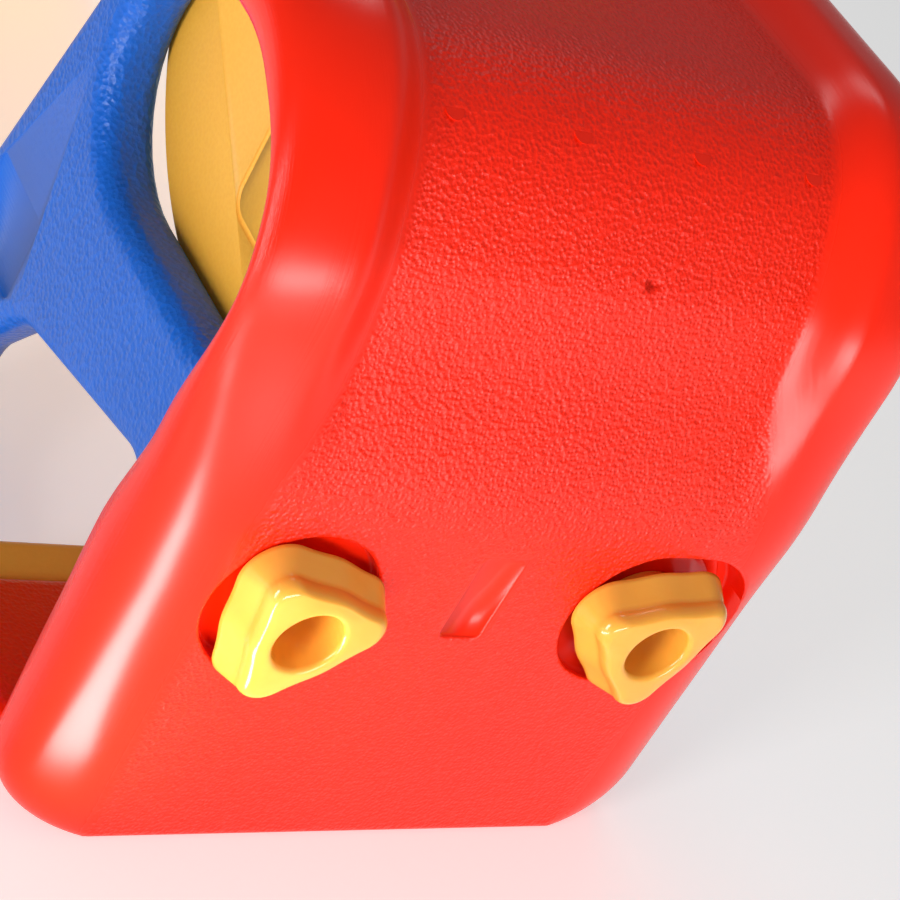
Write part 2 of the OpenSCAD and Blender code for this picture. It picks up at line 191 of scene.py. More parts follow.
# %% [markdown]
# ## Red, blue and yellow polyethylene
# The wall, frames and slide are blow-moulded from high-density polyethylene. The mould's
# blasted steel prints a pebble grain into the flat faces, and its polished corners leave
# smooth, waxy edges. The polymer is slightly milky, so a little light goes in and comes
# out again, which keeps its shadows warm. Each mesh carries a `grain` value, 1 on the
# blasted faces and 0 on the polished ones, and a `draw` value where the parison's drawn
# lines show, so one finish covers a whole moulding.

# %% Moulded polyethylene with a pebble grain
PEBBLE = 3.3 * MM


def moulded_polyethylene(name, light, deep, shade, pebble, height, rough):
    # Waxy semi-gloss plastic: broad soft highlights, sparkling where the grain is blasted; the grain's pits
    # carry painted shade.
    finish = bpy.data.materials.new(name)
    finish.use_nodes = True
    tree = finish.node_tree
    shader = tree.nodes["Principled BSDF"]
    out = tree.nodes["Material Output"]
    place = add(tree, "ShaderNodeTexCoord").outputs["Object"]
    grain = add(tree, "ShaderNodeAttribute", {"attribute_name": "grain"}).outputs["Fac"]
    draw = add(tree, "ShaderNodeAttribute", {"attribute_name": "draw"}).outputs["Fac"]
    along = add(tree, "ShaderNodeUVMap", {"uv_map": "flow"}).outputs["UV"]
    cells = add(tree, "ShaderNodeTexVoronoi", {"feature": "SMOOTH_F1", "Scale": 1 / pebble,
                "Smoothness": 0.35, "Randomness": 0.9}, Vector=place).outputs["Distance"]
    pits = add(tree, "ShaderNodeTexNoise", {"Scale": 0.8 / pebble, "Detail": 3.0, "Roughness": 0.6},
               Vector=place).outputs["Fac"]
    mixed = add(tree, "ShaderNodeMath", {"operation": "MULTIPLY"}, i0=cells, i1=pits).outputs[0]
    shown = add(tree, "ShaderNodeMath", {"operation": "MULTIPLY"}, i0=mixed, i1=grain).outputs[0]
    lines = add(tree, "ShaderNodeTexNoise", {"noise_dimensions": "2D", "Scale": 1.0, "Detail": 4.0,
                "Roughness": 0.65}, Vector=along).outputs["Fac"]
    streak = add(tree, "ShaderNodeMath", {"operation": "MULTIPLY"}, i0=lines, i1=draw).outputs[0]
    pebbled = add(tree, "ShaderNodeBump", {"Strength": 1.0, "Distance": height}, Height=shown)
    drawn = add(tree, "ShaderNodeBump", {"Strength": 0.6, "Distance": 0.5 * MM}, Height=streak,
                Normal=pebbled.outputs[0])
    wave = add(tree, "ShaderNodeTexNoise", {"Scale": 9.0, "Detail": 2.0}, Vector=place).outputs["Fac"]
    soft = add(tree, "ShaderNodeBump", {"Strength": 0.25, "Distance": 4 * MM}, Height=wave,
               Normal=drawn.outputs[0])
    tint = add(tree, "ShaderNodeMix", {"data_type": "RGBA"}, Factor=wave)
    tint.inputs[6].default_value = linear(light)
    tint.inputs[7].default_value = linear(deep)
    # Painted shade: the colour darkens towards the shade colour in the pebble grain's pits, where less light
    # reaches.
    painted_pit_shade = add(tree, "ShaderNodeMapRange", {"From_Min": 0.12, "From_Max": 0.34, "To_Min": 0.22,
              "To_Max": 0.0}, Value=mixed).outputs[0]
    painted_pit_shade = add(tree, "ShaderNodeMath", {"operation": "MULTIPLY"}, i0=painted_pit_shade, i1=grain).outputs[0]
    pit_shaded = add(tree, "ShaderNodeMix", {"data_type": "RGBA"}, Factor=painted_pit_shade)
    pit_shaded.inputs[7].default_value = linear(shade)
    tree.links.new(tint.outputs[2], pit_shaded.inputs[6])
    gloss = add(tree, "ShaderNodeMapRange", {"From_Min": 0.0, "From_Max": 1.0, "To_Min": rough[0],
                "To_Max": rough[1]}, Value=grain)
    tree.links.new(pit_shaded.outputs[2], shader.inputs["Base Color"])
    tree.links.new(gloss.outputs[0], shader.inputs["Roughness"])
    tree.links.new(soft.outputs[0], shader.inputs["Normal"])
    shader.inputs["IOR"].default_value = 1.5
    shader.inputs["Specular IOR Level"].default_value = 0.36
    shader.inputs["Subsurface Weight"].default_value = 0.08
    shader.inputs["Subsurface Radius"].default_value = (0.004, 0.0015, 0.001)
    tree.links.new(shader.outputs[0], out.inputs[0])
    return finish


red_hdpe = moulded_polyethylene("red_polyethylene_blow_moulded", "#fa2400", "#f01c00", "#b00a00",
                                PEBBLE, 1.7 * MM, (0.27, 0.36))
blue_hdpe = moulded_polyethylene("blue_polyethylene_blow_moulded", "#0a68d4", "#085cc4", "#06469c",
                                 4.2 * MM, 1.6 * MM, (0.28, 0.34))
yellow_hdpe = moulded_polyethylene("yellow_polyethylene_blow_moulded", "#ffc04a", "#fdb63e", "#f2a530",
                                   PEBBLE, 0.2 * MM, (0.34, 0.45))
print("moulded finishes:", red_hdpe.name, blue_hdpe.name, yellow_hdpe.name)

# %% [markdown]
# ## Glossy grips, plated steel and the smooth plate
# The holds are injection-moulded in a polished tool, so they are glossier than the rest
# and show clear reflections with faint flow clouds. The fixings are bright zinc plate,
# a little blotched by the bath.

# %% Grip, zinc and plate finishes


def polished_grip(name, light, deep):
    # Injection-moulded polypropylene: clear gloss over a warm, slightly cloudy body.
    finish = bpy.data.materials.new(name)
    finish.use_nodes = True
    tree = finish.node_tree
    shader = tree.nodes["Principled BSDF"]
    place = add(tree, "ShaderNodeTexCoord").outputs["Object"]
    cloud = add(tree, "ShaderNodeTexNoise", {"Scale": 24.0, "Detail": 3.0, "Distortion": 0.8},
                Vector=place).outputs["Fac"]
    tint = add(tree, "ShaderNodeMix", {"data_type": "RGBA"}, Factor=cloud)
    tint.inputs[6].default_value = linear(light)
    tint.inputs[7].default_value = linear(deep)
    haze = add(tree, "ShaderNodeMapRange", {"To_Min": 0.1, "To_Max": 0.2}, Value=cloud)
    skin = add(tree, "ShaderNodeBump", {"Strength": 0.15, "Distance": 1.5 * MM}, Height=cloud)
    tree.links.new(tint.outputs[2], shader.inputs["Base Color"])
    tree.links.new(haze.outputs[0], shader.inputs["Roughness"])
    tree.links.new(skin.outputs[0], shader.inputs["Normal"])
    shader.inputs["Subsurface Weight"].default_value = 0.3
    shader.inputs["Subsurface Radius"].default_value = (0.012, 0.005, 0.0015)
    return finish


def zinc_plate(name):
    # Bright zinc: a cool metal whose gloss changes softly from patch to patch.
    finish = bpy.data.materials.new(name)
    finish.use_nodes = True
    tree = finish.node_tree
    shader = tree.nodes["Principled BSDF"]
    place = add(tree, "ShaderNodeTexCoord").outputs["Object"]
    patch = add(tree, "ShaderNodeTexVoronoi", {"Scale": 1 / (2.5 * MM)}, Vector=place).outputs["Color"]
    haze = add(tree, "ShaderNodeMapRange", {"To_Min": 0.22, "To_Max": 0.4}, Value=patch)
    shader.inputs["Base Color"].default_value = linear("#c6c8ca")
    shader.inputs["Metallic"].default_value = 1.0
    tree.links.new(haze.outputs[0], shader.inputs["Roughness"])
    return finish


grip_yellow = polished_grip("yellow_polypropylene_polished", "#f2b04a", "#eb9f34")
zinc = zinc_plate("zinc_plated_steel")
print("grip and metal finishes:", grip_yellow.name, zinc.name)

# %% [markdown]
# ## The climbing wall's skin
# The wall is one section swept along one path: up the face, round the curl and back
# along the deck. The section has a raised rail at each side that rolls over into a
# smooth rim, and between the rails a shallow valley that deepens as the wall turns
# into the deck. A sweep was chosen because both the rails and the valley then stay
# even, as a mould maker would cut them.

# %% Path up the face, round the curl and along the deck
CURL_L = CURL_R * math.pi / 2
DECK_L = DECK_REAR - (FACE_Y + CURL_R)
PATH_L = KNEE_Z + CURL_L + DECK_L


def on_path(s):
    # Returns the rail's crest point and its outward direction, both in the y-z plane.
    if s <= KNEE_Z:
        return Vector((0, FACE_Y, s)), Vector((0, -1, 0))
    if s <= KNEE_Z + CURL_L:
        turn = (s - KNEE_Z) / CURL_R
        out = Vector((0, -math.cos(turn), math.sin(turn)))
        return Vector((0, FACE_Y + CURL_R, KNEE_Z)) + out * CURL_R, out
    return Vector((0, FACE_Y + CURL_R + s - KNEE_Z - CURL_L, WALL_TOP)), Vector((0, 0, 1))


# %% Section across the wall
CREST_X = 205 * MM
RIM_BACK = 14 * MM
RIM_TURN_IN = 13 * MM
VALLEY_START = 290 * MM
VALLEY_EDGE = 162 * MM
EASE = 20 * MM
RIM_DEPTHS = [(0, 66), (150, 70), (230, 72), (330, 58), (430, 44), (500, 46), (620, 58), (760, 60)]


def end_shrink(s, radius):
    # How far the section draws in near an end, so that the end is rounded.
    if s >= radius:
        return 0.0
    return radius - math.sqrt(max(0.0, radius * radius - (radius - s) ** 2))


def rim_depth(s):
    # The rim's own depth: it hangs deep low down and thins out under the curl.
    if s >= RIM_DEPTHS[-1][0] * MM:
        return RIM_DEPTHS[-1][1] * MM
    for (s0, d0), (s1, d1) in zip(RIM_DEPTHS, RIM_DEPTHS[1:]):
        if s <= s1 * MM:
            return (d0 + (d1 - d0) * smoothstep(s0 * MM, s1 * MM, s)) * MM


def half_section(s):
    # Points (x, depth) from the middle of the face, over the rim, to the middle of the back.
    ease = EASE * smoothstep(280 * MM, 450 * MM, s) * (1 - smoothstep(500 * MM, 660 * MM, s))
    drop = DECK_DROP * smoothstep(VALLEY_START, KNEE_Z + 40 * MM, s)
    pinch = end_shrink(min(s, PATH_L - s), 10 * MM)
    deep = rim_depth(s)
    points = []
    for i in range(56):
        x = CREST_X * i / 55
        points.append((x, ease + drop * (1 - smoothstep(VALLEY_EDGE, CREST_X, x))))
    for i in range(1, 25):
        a = math.pi / 2 * i / 24
        n = ease + (deep * 0.56 - ease * 0.5) * (1 - math.cos(a))
        points.append((CREST_X + (WALL_HALF - CREST_X) * math.sin(a), n))
    side_n = points[-1][1]
    for i in range(1, 13):
        a = math.pi / 2 * i / 12
        points.append((WALL_HALF - RIM_BACK * (1 - math.cos(a)), side_n + (deep - side_n) * math.sin(a)))
    for i in range(1, 7):
        points.append((WALL_HALF - RIM_BACK - RIM_TURN_IN * i / 6,
                       deep + (WALL_DEPTH - deep) * smoothstep(0, 1, i / 6)))
    inner = WALL_HALF - RIM_BACK - RIM_TURN_IN
    for i in range(1, 13):
        points.append((inner * (1 - i / 12), WALL_DEPTH))
    narrow = 1 - end_shrink(s, CORNER_R) / WALL_HALF
    return [(x * narrow, min(max(n, pinch), max(deep, WALL_DEPTH) - pinch)) for x, n in points]


# %% Sweep the section into a closed skin


def path_steps():
    ahead = [0.0]
    step = 1.0 * MM
    while ahead[-1] + step < PATH_L / 2:
        ahead.append(ahead[-1] + step)
        step = min(step * 1.15, 7 * MM)
    return ahead + [PATH_L - s for s in reversed(ahead)]


def sweep_wall():
    points = []
    steps = path_steps()
    for s in steps:
        here, out = on_path(s)
        half = half_section(s)
        for x, n in half + [(-x, n) for x, n in reversed(half[1:-1])]:
            points.append(here - out * n + Vector((x, 0, 0)))
    size = len(points) // len(steps)
    return solid("wall_skin", points, capped_faces(len(steps), size))


wall = sweep_wall()
print("wall skin:", len(wall.data.polygons), "faces")

# %% [markdown]
# ## Wells behind the holds
# Each hold stands over a round well, so that fingers can reach behind its corners. The
# right well runs outwards and steps down twice. A cutter is built from rings: each ring
# is the well's outline at one depth, wider at the mouth, which leaves a rounded lip.

# %% Cut the two wells and the vent hole
SEAT_N = 12 * MM
OPEN_WELL_FLOOR = 26 * MM
VENT_R, VENT_X, VENT_Z = 6.5 * MM, 30 * MM, 478 * MM


def well_ring(side, radius, depth, count=96):
    ring = []
    run = WELL_RUN if side > 0 else 0.0
    for i in range(count):
        a = 2 * math.pi * (i + 0.5) / count
        x = radius * math.cos(a) + (run if math.cos(a) > 0 else 0.0)
        ring.append((side * HOLD_X + x, FACE_Y + depth, HOLD_Z + radius * math.sin(a)))
    return ring


def well_cutter(side):
    lip, foot = 3.5 * MM, 3 * MM
    floor = OPEN_WELL_FLOOR if side > 0 else SEAT_N
    levels = [(-30 * MM, WELL_R + lip)]
    for i in range(9):
        a = math.pi / 2 * i / 8
        levels.append((lip * (1 - math.cos(a)), WELL_R + lip * (1 - math.sin(a))))
    for i in range(7):
        a = math.pi / 2 * i / 6
        levels.append((floor - foot * (1 - math.sin(a)), WELL_R - 0.5 * MM - foot * (1 - math.cos(a))))
    points, count = [], 96
    for depth, radius in levels:
        points += well_ring(side, radius, depth, count)
    return solid("cutter", points, capped_faces(len(levels), count))


def turned(name, profile, x, z, count=64):
    # A closed solid of revolution about a line along Y; the profile is (radius, y).
    points = []
    for radius, y in profile:
        for i in range(count):
            a = 2 * math.pi * i / count
            points.append((x + radius * math.cos(a), y, z + radius * math.sin(a)))
    return solid(name, points, capped_faces(len(profile), count))


def step_profile():
    # Boss in the right well: two rounded steps down from the hold's seat.
    profile = []
    for radius, top, foot in ((62 * MM, SEAT_N, 18 * MM), (73 * MM, 18 * MM, 27 * MM)):
        for i in range(6):
            a = math.pi / 2 * i / 5
            profile.append((radius - 2 * MM * (1 - math.sin(a)), FACE_Y + top + 2 * MM * (1 - math.cos(a))))
        profile.append((radius + 0.5 * MM, FACE_Y + foot))
    return profile


PLATE_W, PLATE_H, PLATE_Z = 34 * MM, 72 * MM, 242 * MM


def rounded_box(width, height, radius, u0, v0, steps=6):
    # Outline (u, v) of a rounded rectangle about (u0, v0), counterclockwise.
    outline = []
    for k in range(4):
        cu = (width / 2 - radius) * (1 if k in (0, 3) else -1)
        cv = (height / 2 - radius) * (1 if k in (0, 1) else -1)
        for i in range(steps + 1):
            a = math.pi / 2 * (k + i / steps)
            outline.append((u0 + cu + radius * math.cos(a), v0 + cv + radius * math.sin(a)))
    return outline


def slab(name, outline, low, high, axis):
    # Extrudes an outline from low to high along an axis: (x, z) along Y or (y, z) along X.
    if axis == "Y":
        points = [(u, w, v) for w in (low, high) for u, v in outline]
    else:
        points = [(w, u, v) for w in (low, high) for u, v in outline]
    return solid(name, points, capped_faces(2, len(outline)))


for side in (-1, 1):
    cutter = well_cutter(side)
    if side > 0:
        cutter = carve(cutter, turned("boss", step_profile(), HOLD_X, HOLD_Z))
    wall = carve(wall, cutter)
vent = [(VENT_R, FACE_Y - 20 * MM), (VENT_R, FACE_Y + 52 * MM)]
wall = carve(wall, turned("vent", vent, VENT_X, VENT_Z, 32))
wall = carve(wall, slab("plate", rounded_box(PLATE_W, PLATE_H, 6 * MM, 0, PLATE_Z),
                        FACE_Y - 5 * MM, FACE_Y + 0.5 * MM, "Y"))
print("wall with wells:", len(wall.data.polygons), "faces")

# %% [markdown]
# ## Where the grain runs
# The blasted grain ends where the polished rim and the valley's flanks begin, and the
# drawn lines follow the parting edge. Both are worked out from each point's place on
# the sweep, so the cuts above can't disturb them.

# %% Mark grain and drawn lines on the wall


def sweep_place(p):
    # Returns (distance along the path, depth below the crest line) of a point.
    y, z = p.y - FACE_Y, p.z
    if z <= KNEE_Z:
        return z, y
    if y <= CURL_R:
        arm = Vector((CURL_R - y, z - KNEE_Z))
        return KNEE_Z + math.atan2(arm.y, arm.x) * CURL_R, CURL_R - arm.length
    return KNEE_Z + CURL_L + y - CURL_R, WALL_TOP - z


def mark(piece, rule):
    mesh = piece.data
    grain = mesh.attributes.new("grain", "FLOAT", "POINT")
    draw = mesh.attributes.new("draw", "FLOAT", "POINT")
    values = [rule(v.co) for v in mesh.vertices]
    grain.data.foreach_set("value", [v[0] for v in values])
    draw.data.foreach_set("value", [v[1] for v in values])
    flow = mesh.uv_layers.new(name="flow")
    for loop in mesh.loops:
        flow.data[loop.index].uv = values[loop.vertex_index][2:]


def wall_marks(p):
    s, n = sweep_place(p)
    x = abs(p.x)
    edge = 200 * MM - 34 * MM * smoothstep(VALLEY_START, KNEE_Z, s)
    flat = 1 - smoothstep(edge - 8 * MM, edge + 4 * MM, x)
    in_well = math.hypot(x - HOLD_X - (min(max(p.x - HOLD_X, 0), WELL_RUN) if p.x > 0 else 0),
                         p.z - HOLD_Z) < WELL_R + 2 * MM
    deep = 1.0 if in_well and n > 2 * MM and s < VALLEY_START else 0.0
    grain = flat * (1 - deep) if n < WALL_DEPTH * 0.9 else 0.5
    line = smoothstep(20 * MM, 34 * MM, n) * (1 - smoothstep(48 * MM, 56 * MM, n)) if x > CREST_X else 0.0
    if x < PLATE_W / 2 + 2 * MM and abs(p.z - PLATE_Z) < PLATE_H / 2 + 2 * MM and n < 20 * MM:
        grain = 0.0
    crest = 0.35 * smoothstep(edge - 4 * MM, edge + 6 * MM, x) * (1 - smoothstep(218 * MM, 232 * MM, x))
    return grain, max(line, crest * (1 - deep)), (x + n) / (1.6 * MM), s / (90 * MM)


mark(wall, wall_marks)
wall.data.materials.append(red_hdpe)
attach(wall, "root")
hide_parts("wall_panel")

# %% [markdown]
# ## Holds
# A hold is a rounded triangle that swells towards the wall. It is drawn as rings about
# its bolt: each ring blends from the triangle outside to the round hole inside, so the
# rolled front edge, the crowned face and the hole's rounded lip are one smooth surface.

# %% Triangle outline and the two holds
HOLD_TIP = 66 * MM
FRONT_CORNER = 14 * MM
BASE_CORNER = 27 * MM
HOLD_OUT = 33 * MM
HOLE_R = 24 * MM
HUB_R = 50 * MM
HOLD_TURN = {"left": (-1, 11.0), "right": (1, 41.0)}


def triangle_reach(angle, scale, inset, corner):
    # Distance from the bolt to the outline of a rounded triangle with gently bowed sides.
    tip, swell = HOLD_TIP * scale - inset, 2.5 * MM
    a = (angle + math.pi / 3) % (2 * math.pi / 3) - math.pi / 3
    centre = tip - corner
    touch = math.atan2(corner * math.sin(math.pi / 3), centre + corner * math.cos(math.pi / 3))
    if abs(a) < touch:
        return centre * math.cos(a) + math.sqrt(max(0.0, corner ** 2 - (centre * math.sin(a)) ** 2))
    t = (abs(a) - touch) / (math.pi / 3 - touch)
    return (centre * 0.5 + corner) / math.cos(math.pi / 3 - abs(a)) + swell * math.sin(math.pi / 2 * t) ** 2


def hold_rings():
    # Rings as (y from the face, triangle scale, inset, corner radius), from the base forwards.
    rings = [(-0.3 * MM, 0.985, 2.2 * MM, BASE_CORNER), (-0.8 * MM, 0.985, 0.7 * MM, BASE_CORNER),
             (-1.6 * MM, 0.985, 0.0, BASE_CORNER)]
    side_l = HOLD_OUT - 13 * MM
    for i in range(1, 8):
        rings.append((-1.6 * MM - (side_l - 1.6 * MM) * i / 7, 0.985 - 0.1 * i / 7, 0.0,
                      BASE_CORNER - (BASE_CORNER - FRONT_CORNER) * i / 7))
    for i in range(1, 13):
        a = math.pi / 2 * i / 12
        rings.append((-side_l - 12 * MM * math.sin(a), 0.885, 10 * MM * (1 - math.cos(a)), FRONT_CORNER))
    return rings


def make_hold(name, side, turn, count=144):
    turns = [2 * math.pi * k / count for k in range(count)]
    hub = ((SEAT_N, HUB_R - 13 * MM), (SEAT_N - 0.4 * MM, HUB_R - 12.4 * MM), (0.4 * MM, HUB_R - 12 * MM))
    rings = [[(a, radius, y) for a in turns] for y, radius in hub]
    rings += [[(a, triangle_reach(a, scale, inset, corner), y) for a in turns]
              for y, scale, inset, corner in hold_rings()]
    front = rings[-1]
    lip = 4 * MM
    for i in range(1, 9):
        t = i / 9
        crown = -1.0 * MM * math.sin(math.pi / 2 * t)
        rings.append([(a, r * (1 - t) + (HOLE_R + lip) * t, y + crown) for a, r, y in front])
    for i in range(8):
        b = math.pi / 2 * i / 7
        y = -HOLD_OUT + lip * (1 - math.cos(b))
        rings.append([(a, HOLE_R + lip * (1 - math.sin(b)), y) for a in turns])
    for r, y in ((HOLE_R - 0.8 * MM, 0.0), (HOLE_R - 1.6 * MM, 6 * MM), (HOLE_R - 3.5 * MM, 8 * MM),
                 (5.6 * MM, 8 * MM), (5.6 * MM, SEAT_N)):
        rings.append([(a, r, y) for a in turns])
    points = []
    for ring in rings:
        for a, r, y in ring:
            b = a + math.radians(turn)
            points.append((side * HOLD_X + r * math.cos(b), FACE_Y + y, HOLD_Z + r * math.sin(b)))
    faces = ring_faces(len(rings), count)
    last = (len(rings) - 1) * count
    faces += [(i, (i + 1) % count, last + (i + 1) % count, last + i) for i in range(count)]
    return solid(name, points, faces)


for word, (side, turn) in HOLD_TURN.items():
    hold = make_hold("grip_" + word, side, turn)
    hold.data.materials.append(grip_yellow)
    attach(hold, "root")
    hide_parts("hold_" + word)
    print("hold", word, len(hold.data.polygons), "faces")

# %% [markdown]
# ## Side frames
# Each blue frame is one hollow moulding: a front leg, an arm and a post round two
# openings. Its outline is a taut band round a few circles, as a draughtsman would draw
# it. The solid is lofted from that outline drawn in towards both faces, which gives the
# broad bull-nosed edges, and two flared cutters open it with the same soft edge.

# %% Bands round circles, lofted into the two frames
FRAME_Y = FACE_Y + 60.3 * MM
FRAME_REAR = frame_high.y
FRAME_TOP = frame_high.z
BULL_NOSE = 17 * MM
FRAME_PLATE_W, FRAME_PLATE_H = 84 * MM, 70 * MM
FRAME_PLATE_Y, FRAME_PLATE_Z = FRAME_Y + 293 * MM, 239 * MM
FRAME_ROUNDS = [(12, 12, 12), (320, 35, 35), (315, 250, 40), (245, 499.7, 40), (111.7, 428, 111.7)]
UPPER_ROUNDS = [(40, 382, 30), (175, 434, 88), (111.7, 428, 93.7)]
LOWER_ROUNDS = [(45, 50, 32), (228, 108, 62), (195, 150, 62), (44, 218, 34)]


def band(circles, grow, steps=20):
    # Outline (y, z) of the band round circles (y, z, radius) in mm, grown by a length.
    rounds = [(FRAME_Y + y * MM, z * MM, max(0.5 * MM, r * MM + grow)) for y, z, r in circles]
    count = len(rounds)
    turns = []
    for i in range(count):
        (y0, z0, r0), (y1, z1, r1) = rounds[i], rounds[(i + 1) % count]
        reach = math.hypot(y1 - y0, z1 - z0)
        lean = math.acos(max(-1.0, min(1.0, (r0 - r1) / reach)))
        turns.append(math.atan2(z1 - z0, y1 - y0) - lean)
    outline = []
    for i, (y, z, r) in enumerate(rounds):
        start, end = turns[i - 1], turns[i]
        while end < start:
            end += 2 * math.pi
        for k in range(steps + 1):
            a = start + (end - start) * k / steps
            outline.append((y + r * math.cos(a), z + r * math.sin(a)))
        y0, z0 = outline[-1]
        y1, z1, r1 = rounds[(i + 1) % count]
        end_y, end_z = y1 + r1 * math.cos(turns[i]), z1 + r1 * math.sin(turns[i])
        outline += [(y0 + (end_y - y0) * k / 12, z0 + (end_z - z0) * k / 12) for k in range(1, 12)]
    return outline


def loft(name, circles, stations):
    # Rings of one outline at several (x, grow) stations, closed at both ends.
    rings = [[(x, y, z) for y, z in band(circles, grow)] for x, grow in stations]
    return solid(name, [p for ring in rings for p in ring], capped_faces(len(rings), len(rings[0])))


def edge_stations(low, high, nose, out):
    # Stations across a frame, with a quarter round at each face; out is -1 for a solid, 1 for a cutter.
    near = []
    for i in range(9):
        a = math.pi / 2 * i / 8
        near.append((nose * (1 - math.cos(a)), out * nose * (1 - math.sin(a))))
    return [(low + d, g) for d, g in near] + [(high - d, g) for d, g in reversed(near)]


def side_frame(side):
    low, high = sorted((side * frame_low.x, side * frame_high.x))
    blank = loft("side_frame_skin_" + ("right" if side > 0 else "left"), FRAME_ROUNDS,
                 edge_stations(low, high, 12 * MM, -1))
    for circles in (UPPER_ROUNDS, LOWER_ROUNDS):
        stations = edge_stations(low, high, BULL_NOSE, 1)
        first, last = stations[0], stations[-1]
        stations = [(first[0] - 4 * MM, first[1])] + stations + [(last[0] + 4 * MM, last[1])]
        blank = carve(blank, loft("opening", circles, stations))
    notch = [(FRAME_Y - 20 * MM, -0.02), (FRAME_Y + 190.3 * MM, -0.02), (FRAME_Y + 190.3 * MM, 43.3 * MM),
             (FRAME_Y + 140 * MM, 43.3 * MM), (FRAME_Y + 140 * MM, 54.3 * MM), (FRAME_Y - 20 * MM, 54.3 * MM)]
    blank = carve(blank, slab("notch", notch, low - 0.01, high + 0.01, "X"))
    outer = side * (frame_high.x - 1.4 * MM)
    plate = rounded_box(FRAME_PLATE_W, FRAME_PLATE_H, 7 * MM, FRAME_PLATE_Y, FRAME_PLATE_Z)
    blank = carve(blank, slab("plate", plate, *sorted((outer, side * (frame_high.x + 0.01))), "X"))
    return blank


def frame_marks(p):
    in_plate = (abs(p.y - FRAME_PLATE_Y) < FRAME_PLATE_W / 2 + 1 * MM
                and abs(p.z - FRAME_PLATE_Z) < FRAME_PLATE_H / 2 + 1 * MM)
    on_face = abs(p.x) > frame_high.x - 2.5 * MM
    if in_plate and on_face:
        return 0.0, 1.0, p.z / (2.2 * MM), p.y / (120 * MM)
    return 1.0, 0.0, p.y / (2 * MM), p.z / (90 * MM)


for word, side in (("left", -1), ("right", 1)):
    shell = side_frame(side)
    mark(shell, frame_marks)
    shell.data.materials.append(blue_hdpe)
    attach(shell, "root")
    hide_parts("side_frame_" + word)
    print("frame", word, len(shell.data.polygons), "faces")

# %% [markdown]
# ## Slide
# The slide is a chute between two hollow side walls. Under the deck each side wall hangs
# down as a skirt inside its frame, with a flat lower edge that sweeps up in one arc. A
# groove pressed into the skirt stiffens its broad flat side.

# %% Side walls, chute and pressed grooves
SLIDE_HALF = slide_high.x
SIDE_T = 22 * MM
SKIRT_R, SKIRT_TURN = 240 * MM, 52
SLOPE_END = slide_high.y - 120 * MM
SLIDE_FRONT = slide_high.y - 880 * MM
LIP_END = SLIDE_FRONT + 38 * MM
END_Z = 70 * MM
DECK_Z = WALL_TOP - DECK_DROP
SKIRT_Z = 320 * MM
CHUTE_T = 16 * MM
UNDER_DECK = WALL_TOP - WALL_DEPTH - 0.9 * MM


def side_outline():
    # Side wall in (y, z), counterclockwise: skirt, sweep, slope, run-out and top edge.
    arc_y, outline = FACE_Y + 150 * MM, []
    for i in range(27):
        a = math.radians(SKIRT_TURN * i / 26)
        outline.append((arc_y + SKIRT_R * math.sin(a), SKIRT_Z + SKIRT_R * (1 - math.cos(a))))
    outline += [(LIP_END, SKIRT_Z + 200 * MM), (SLOPE_END, 0.6 * MM), (slide_high.y - 1 * MM, 0.6 * MM)]
    outline += [(slide_high.y - 1 * MM, END_Z + 30 * MM), (SLOPE_END, END_Z + 60 * MM)]
    outline += [(LIP_END, DECK_Z + 59.5 * MM), (SLIDE_FRONT + 0.4 * MM, DECK_Z + 59.5 * MM)]
    outline += [(SLIDE_FRONT + 0.4 * MM, UNDER_DECK), (FACE_Y + CURL_R, UNDER_DECK)]
    for i in range(1, 20):
        a = math.radians(90 + 4.6 * i)
        curl = CURL_R - 60.8 * MM
        outline.append((FACE_Y + CURL_R + curl * math.cos(a), KNEE_Z + curl * math.sin(a)))
    outline += [(FRAME_Y + 0.5 * MM, KNEE_Z - 20 * MM), (FRAME_Y + 0.5 * MM, SKIRT_Z)]
    return outline


def chute_outline():
    # Chute in (y, z), a plate of even thickness under the sliding surface.
    top = [(SLIDE_FRONT + 0.4 * MM, DECK_Z), (LIP_END, DECK_Z), (SLOPE_END, END_Z),
           (slide_high.y - 1 * MM, END_Z)]
    return [(y, z - CHUTE_T) for y, z in top] + list(reversed(top))


def soften(piece, width, segments=4):
    round_off = piece.modifiers.new("round", "BEVEL")
    round_off.width = width
    round_off.segments = segments
    round_off.limit_method = "ANGLE"
    round_off.angle_limit = math.radians(35)
    return bake(piece)


def groove_cutter(side):
    # A thin rod bent round a rounded rectangle, half sunk in the skirt's outer face.
    path = rounded_box(110 * MM, 136 * MM, 17 * MM, FACE_Y + 133 * MM, 463 * MM, 10)
    points, around = [], 10
    for i, (y, z) in enumerate(path):
        y0, z0 = path[i - 1]
        y1, z1 = path[(i + 1) % len(path)]
        out = Vector((0, z1 - z0, y0 - y1)).normalized()
        for k in range(around):
            a = 2 * math.pi * k / around
            points.append(Vector((side * (SLIDE_HALF + 0.6 * MM) + 2.6 * MM * math.cos(a), y, z))
                          + out * 2.6 * MM * math.sin(a))
    rings = len(path)
    faces = ring_faces(rings, around)
    last = (rings - 1) * around
    faces += [(last + i, last + (i + 1) % around, (i + 1) % around, i) for i in range(around)]
    return solid("groove", points, faces)


chute_half = SLIDE_HALF - 8 * MM
slide = soften(slab("slide_skin", chute_outline(), -chute_half, chute_half, "X"), 2 * MM, 2)
for side in (-1, 1):
    low, high = sorted((side * SLIDE_HALF, side * (SLIDE_HALF - SIDE_T)))
    wing = soften(slab("wing", side_outline(), low, high, "X"), 6 * MM)
    wing = carve(wing, groove_cutter(side))
    slide = carve(slide, wing, "UNION")
mark(slide, lambda p: (1.0, 0.0, p.y / (2 * MM), p.z / (90 * MM)))
slide.data.materials.append(yellow_hdpe)
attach(slide, "root")
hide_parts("slide")
print("slide:", len(slide.data.polygons), "faces")

# %% [markdown]
# ## Floor beams
# Both floor beams follow one rule: a rounded rectangle drawn along a line, with its
# corners easing in at the ends. A node tree sweeps that section, so one tree with
# different sizes makes both beams.

# %% Node tree for a rounded beam


